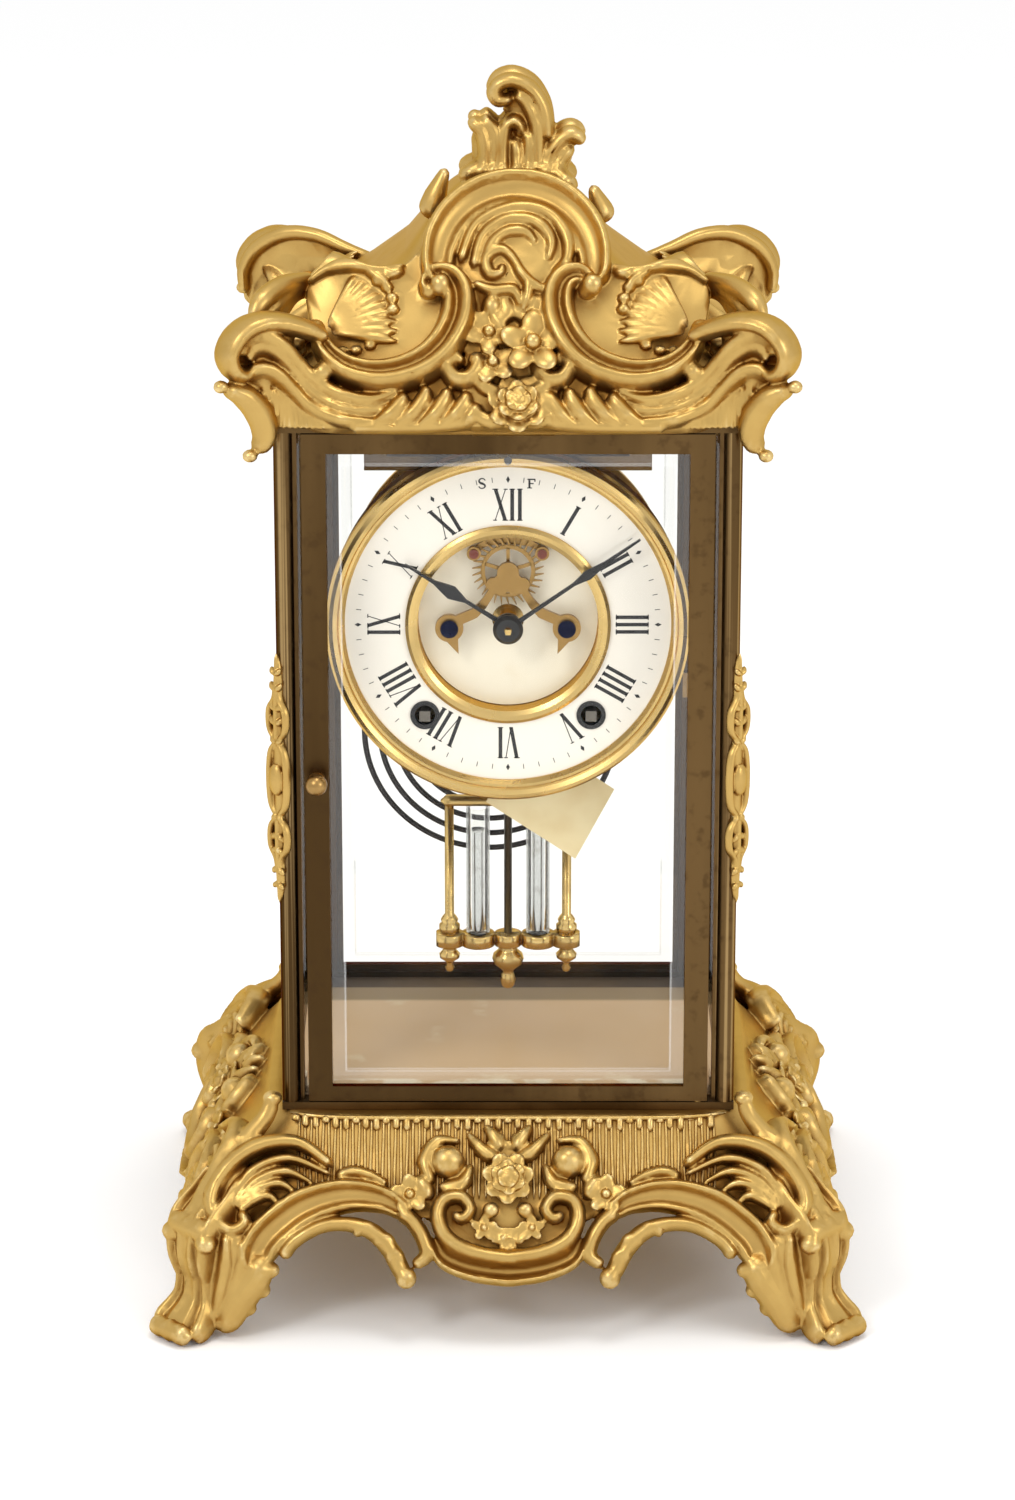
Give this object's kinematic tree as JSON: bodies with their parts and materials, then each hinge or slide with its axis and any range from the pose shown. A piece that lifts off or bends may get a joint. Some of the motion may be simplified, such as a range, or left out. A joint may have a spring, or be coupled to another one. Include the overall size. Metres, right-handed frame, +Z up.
{
  "type": "crystal regulator clock",
  "caption": "Glazed brass table clock between rococo castings, with two doors, open escapement dial, mercury pendulum and striking movement on a coiled gong.",
  "frame": {"origin": "on the table under the middle of the clock", "axes": "+Z up, the front glass faces -Y, +X to the right seen from the front"},
  "size_m": [0.225, 0.1886, 0.3874],
  "materials": {
    "gilt": "satin gilt with darker hollows",
    "dark_brass": "dark patinated",
    "brass": "polished",
    "glass": "clear",
    "porcelain": "glossy white",
    "black_steel": "black gloss",
    "steel": "bright",
    "blued_steel": "blued",
    "dark_steel": "dark",
    "jewel": "polished red-brown",
    "mercury": "liquid metal",
    "paper": "matt"
  },
  "bodies": {
    "case": {"base_casting": "gilt", "bottom_frame": "dark_brass", "column_front_left": "dark_brass", "column_front_right": "dark_brass", "column_rear_left": "dark_brass", "column_rear_right": "dark_brass", "top_frame": "dark_brass", "top_casting": "gilt", "corner_mounts": "gilt", "glass_left": "glass", "glass_right": "glass", "door_pivots": "brass", "casting_screws": "brass", "movement_carrier": "dark_steel", "carrier_screws": "steel", "bezel": "brass", "dial_ring": "porcelain", "sight_ring": "brass", "dial_centre": "porcelain", "winding_grommets": "black_steel", "escapement_bridge": "brass", "bridge_screws": "blued_steel", "front_plate": "brass", "back_plate": "brass", "time_mainspring": "blued_steel", "strike_mainspring": "blued_steel", "gong": "dark_steel", "suspension_cock": "brass", "paper_slip": "paper"},
    "front_door": {"front_door_frame": "dark_brass", "front_glass": "glass"},
    "front_knob": {"front_knob": "brass"},
    "rear_door": {"rear_door_frame": "dark_brass", "rear_glass": "glass"},
    "rear_knob": {"rear_knob": "brass"},
    "minute": {"cannon_pinion": "brass", "minute_hand": "black_steel", "hand_nut": "black_steel"},
    "minute_wheel": {"minute_wheel": "brass"},
    "hour": {"hour_wheel": "brass", "hour_hand": "black_steel"},
    "escape": {"escape_wheel": "brass"},
    "third": {"third_wheel": "brass"},
    "centre": {"centre_wheel": "brass"},
    "time_second": {"time_second_wheel": "brass"},
    "time_great": {"time_great_wheel": "brass"},
    "time_arbor": {"time_winding_arbor": "steel"},
    "strike_pin": {"strike_pin_wheel": "brass"},
    "strike_great": {"strike_great_wheel": "brass"},
    "strike_fly": {"strike_fly": "brass"},
    "strike_arbor": {"strike_winding_arbor": "steel"},
    "hammer": {"hammer": "steel"},
    "pendulum": {"pendulum_frame": "brass", "pendulum_rod": "steel", "suspension_spring": "steel", "vials": "glass", "mercury": "mercury"},
    "anchor": {"anchor": "steel", "pallet_jewels": "jewel"},
    "regulator": {"regulator_arbor": "black_steel"}
  },
  "joints": [
    {"name": "front_door_hinge", "type": "hinge", "parent": "case", "child": "front_door", "pos_m": [0.06, -0.0535, 0.1775], "axis": [0, 0, 1], "range_deg": [0, 110]},
    {"name": "front_knob_turn", "type": "hinge", "parent": "front_door", "child": "front_knob", "pos_m": [-0.05925, -0.056, 0.176], "axis": [0, -1, 0], "range_deg": [-90, 0]},
    {"name": "rear_door_hinge", "type": "hinge", "parent": "case", "child": "rear_door", "pos_m": [-0.06, 0.0535, 0.1775], "axis": [0, 0, 1], "range_deg": [0, 110]},
    {"name": "rear_knob_turn", "type": "hinge", "parent": "rear_door", "child": "rear_knob", "pos_m": [0.05925, 0.056, 0.176], "axis": [0, 1, 0], "range_deg": [-90, 0]},
    {"name": "minute_turn", "type": "hinge", "parent": "case", "child": "minute", "pos_m": [0, 0, 0.22], "axis": [0, -1, 0], "continuous": true},
    {"name": "minute_wheel_turn", "type": "hinge", "parent": "case", "child": "minute_wheel", "pos_m": [0, 0, 0.208], "axis": [0, -1, 0], "continuous": true},
    {"name": "hour_turn", "type": "hinge", "parent": "case", "child": "hour", "pos_m": [0, 0, 0.22], "axis": [0, -1, 0], "continuous": true},
    {"name": "escape_turn", "type": "hinge", "parent": "case", "child": "escape", "pos_m": [0, 0, 0.2366], "axis": [0, -1, 0], "continuous": true},
    {"name": "third_turn", "type": "hinge", "parent": "case", "child": "third", "pos_m": [0.0131, 0, 0.23025], "axis": [0, -1, 0], "continuous": true},
    {"name": "centre_turn", "type": "hinge", "parent": "case", "child": "centre", "pos_m": [0, 0, 0.22], "axis": [0, -1, 0], "continuous": true},
    {"name": "time_second_turn", "type": "hinge", "parent": "case", "child": "time_second", "pos_m": [0.01446, 0, 0.20927], "axis": [0, -1, 0], "continuous": true},
    {"name": "time_great_turn", "type": "hinge", "parent": "case", "child": "time_great", "pos_m": [0.026, 0, 0.1905], "axis": [0, -1, 0], "continuous": true},
    {"name": "time_winding_turn", "type": "hinge", "parent": "case", "child": "time_arbor", "pos_m": [0.026, 0, 0.1905], "axis": [0, -1, 0], "continuous": true},
    {"name": "strike_pin_turn", "type": "hinge", "parent": "case", "child": "strike_pin", "pos_m": [-0.02983, 0, 0.21221], "axis": [0, -1, 0], "continuous": true},
    {"name": "strike_great_turn", "type": "hinge", "parent": "case", "child": "strike_great", "pos_m": [-0.026, 0, 0.1905], "axis": [0, -1, 0], "continuous": true},
    {"name": "strike_fly_turn", "type": "hinge", "parent": "case", "child": "strike_fly", "pos_m": [-0.02679, 0, 0.22944], "axis": [0, -1, 0], "continuous": true},
    {"name": "strike_winding_turn", "type": "hinge", "parent": "case", "child": "strike_arbor", "pos_m": [-0.026, 0, 0.1905], "axis": [0, -1, 0], "continuous": true},
    {"name": "hammer_lift", "type": "hinge", "parent": "case", "child": "hammer", "pos_m": [-0.04355, 0, 0.23216], "axis": [0, -1, 0], "range_deg": [-6, 0]},
    {"name": "pendulum_swing", "type": "hinge", "parent": "case", "child": "pendulum", "pos_m": [0, 0.017, 0.2524], "axis": [0, -1, 0], "range_deg": [-3, 3]},
    {"name": "anchor_rock", "type": "hinge", "parent": "case", "child": "anchor", "pos_m": [0, 0, 0.2524], "axis": [0, -1, 0], "range_deg": [-3, 3]},
    {"name": "regulator_turn", "type": "hinge", "parent": "case", "child": "regulator", "pos_m": [0, 0, 0.2738], "axis": [0, -1, 0], "range_deg": [-180, 180]}
  ],
  "couplings": [
    {"joint": "minute_wheel_turn", "follows": "minute_turn", "ratio": -0.33333},
    {"joint": "hour_turn", "follows": "minute_turn", "ratio": 0.083333},
    {"joint": "third_turn", "follows": "escape_turn", "ratio": -0.083333},
    {"joint": "centre_turn", "follows": "escape_turn", "ratio": 0.0069444},
    {"joint": "time_second_turn", "follows": "escape_turn", "ratio": -0.0013889},
    {"joint": "time_great_turn", "follows": "escape_turn", "ratio": 0.00021044},
    {"joint": "strike_great_turn", "follows": "strike_pin_turn", "ratio": -0.15152},
    {"joint": "strike_fly_turn", "follows": "strike_pin_turn", "ratio": -6},
    {"joint": "anchor_rock", "follows": "pendulum_swing", "ratio": 1}
  ]
}
